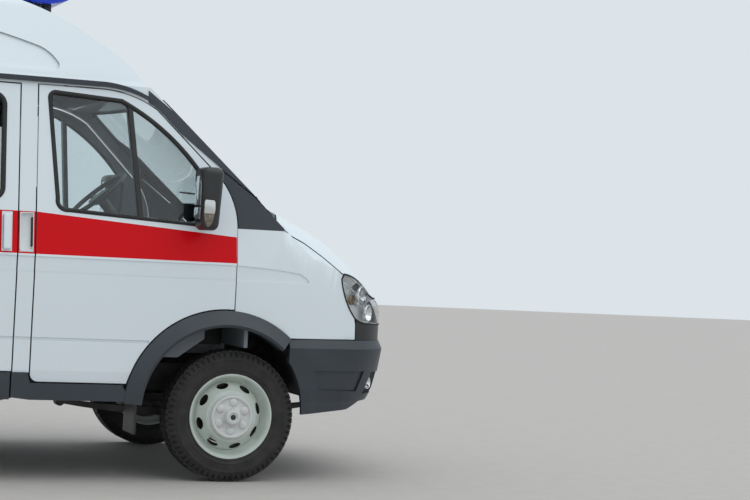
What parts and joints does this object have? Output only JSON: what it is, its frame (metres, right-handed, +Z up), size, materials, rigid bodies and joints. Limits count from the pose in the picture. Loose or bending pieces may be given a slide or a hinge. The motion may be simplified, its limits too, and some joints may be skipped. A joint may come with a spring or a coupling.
{
  "type": "high-roof panel-van ambulance",
  "caption": "High-roof panel-van ambulance with hinged cab and rear doors, lifting bonnet, steered front wheels and twin rear wheels.",
  "frame": {"origin": "on the ground at the middle of the overall length and width", "axes": "+X forward, +Y to the vehicle's left, +Z up"},
  "size_m": [5.56, 2.355, 2.55],
  "materials": {
    "white_paint": "gloss white paint",
    "white_moulding": "gloss white moulded roof",
    "grey_plastic": "textured dark grey plastic",
    "black_plastic": "matt black plastic",
    "clear_glass": "lightly tinted glass",
    "frosted_glass": "frosted glass with a clear tinted band",
    "lamp_lens": "clear lamp lens",
    "red_lens": "red lamp lens",
    "blue_lens": "translucent blue lens",
    "chrome_lamp": "bright lamp housing",
    "black_steel": "black chassis paint",
    "cast_metal": "cast metal",
    "steel_pipe": "dull steel",
    "wheel_paint": "pale grey wheel paint",
    "tyre_rubber": "tyre rubber",
    "floor_cover": "grey floor covering",
    "seat_cloth": "dark seat cloth",
    "dash_plastic": "dark grey dashboard plastic",
    "inner_white": "white inner lining"
  },
  "bodies": {
    "chassis": {"cabin_glass": "frosted_glass", "cowl": "black_plastic", "dashboard": "dash_plastic", "engine": "cast_metal", "exhaust": "steel_pipe", "firewall": "inner_white", "floodlights": "chrome_lamp", "floor": "floor_cover", "front_axle": "black_steel", "front_bumper": "grey_plastic", "fuel_tank": "black_steel", "grille": "black_plastic", "gutters": "grey_plastic", "headlamps": "lamp_lens", "high_roof": "white_moulding", "ladder_frame": "black_steel", "leaf_springs": "black_steel", "light_bar": "blue_lens", "partition": "inner_white", "rear_axle": "black_steel", "rear_frame": "white_paint", "rear_step": "black_plastic", "screen_frame": "white_paint", "seats": "seat_cloth", "side_panel_left": "white_paint", "side_panel_right": "white_paint", "side_trim_left": "grey_plastic", "side_trim_right": "grey_plastic", "sliding_door": "white_paint", "steering_wheel": "black_plastic", "tail_lamps": "red_lens", "wheel_liners": "black_plastic", "windscreen": "clear_glass", "wing_left": "white_paint", "wing_right": "white_paint"},
    "front_door_right": {"door_right": "white_paint", "door_glass_right": "clear_glass", "door_trim_right": "black_plastic"},
    "rear_door_right": {"rear_door_right": "white_paint", "rear_glass_right": "frosted_glass"},
    "knuckle_right": {"knuckle_right": "cast_metal"},
    "front_wheel_right": {"front_rim_right": "wheel_paint", "front_tyre_right": "tyre_rubber"},
    "rear_wheels_right": {"rear_rims_right": "wheel_paint", "rear_tyres_right": "tyre_rubber"},
    "front_door_left": {"door_left": "white_paint", "door_glass_left": "clear_glass", "door_trim_left": "black_plastic"},
    "rear_door_left": {"rear_door_left": "white_paint", "rear_glass_left": "frosted_glass"},
    "knuckle_left": {"knuckle_left": "cast_metal"},
    "front_wheel_left": {"front_rim_left": "wheel_paint", "front_tyre_left": "tyre_rubber"},
    "rear_wheels_left": {"rear_rims_left": "wheel_paint", "rear_tyres_left": "tyre_rubber"},
    "bonnet": {"bonnet": "white_paint"}
  },
  "joints": [
    {"name": "front_door_right_hinge", "type": "hinge", "parent": "chassis", "child": "front_door_right", "pos_m": [1.724, -0.985, 1], "axis": [0, 0, 1], "range_deg": [0, 68]},
    {"name": "rear_door_right_hinge", "type": "hinge", "parent": "chassis", "child": "rear_door_right", "pos_m": [-2.707, -0.912, 1], "axis": [0, 0, 1], "range_deg": [0, 180]},
    {"name": "steering_right", "type": "hinge", "parent": "chassis", "child": "knuckle_right", "pos_m": [1.75, -0.7, 0.342], "axis": [0, 0, 1], "range_deg": [-33, 33]},
    {"name": "front_wheel_right_spin", "type": "hinge", "parent": "knuckle_right", "child": "front_wheel_right", "pos_m": [1.75, -0.85, 0.342], "axis": [0, 1, 0], "continuous": true},
    {"name": "rear_wheels_right_spin", "type": "hinge", "parent": "chassis", "child": "rear_wheels_right", "pos_m": [-1.15, -0.765, 0.342], "axis": [0, 1, 0], "continuous": true},
    {"name": "front_door_left_hinge", "type": "hinge", "parent": "chassis", "child": "front_door_left", "pos_m": [1.724, 0.985, 1], "axis": [0, 0, -1], "range_deg": [0, 68]},
    {"name": "rear_door_left_hinge", "type": "hinge", "parent": "chassis", "child": "rear_door_left", "pos_m": [-2.707, 0.912, 1], "axis": [0, 0, -1], "range_deg": [0, 180]},
    {"name": "steering_left", "type": "hinge", "parent": "chassis", "child": "knuckle_left", "pos_m": [1.75, 0.7, 0.342], "axis": [0, 0, 1], "range_deg": [-33, 33]},
    {"name": "front_wheel_left_spin", "type": "hinge", "parent": "knuckle_left", "child": "front_wheel_left", "pos_m": [1.75, 0.85, 0.342], "axis": [0, 1, 0], "continuous": true},
    {"name": "rear_wheels_left_spin", "type": "hinge", "parent": "chassis", "child": "rear_wheels_left", "pos_m": [-1.15, 0.765, 0.342], "axis": [0, 1, 0], "continuous": true},
    {"name": "bonnet_hinge", "type": "hinge", "parent": "chassis", "child": "bonnet", "pos_m": [1.95, 0, 1.4], "axis": [0, -1, 0], "range_deg": [0, 55]}
  ],
  "couplings": [
    {"joint": "steering_left", "follows": "steering_right", "ratio": 1}
  ]
}
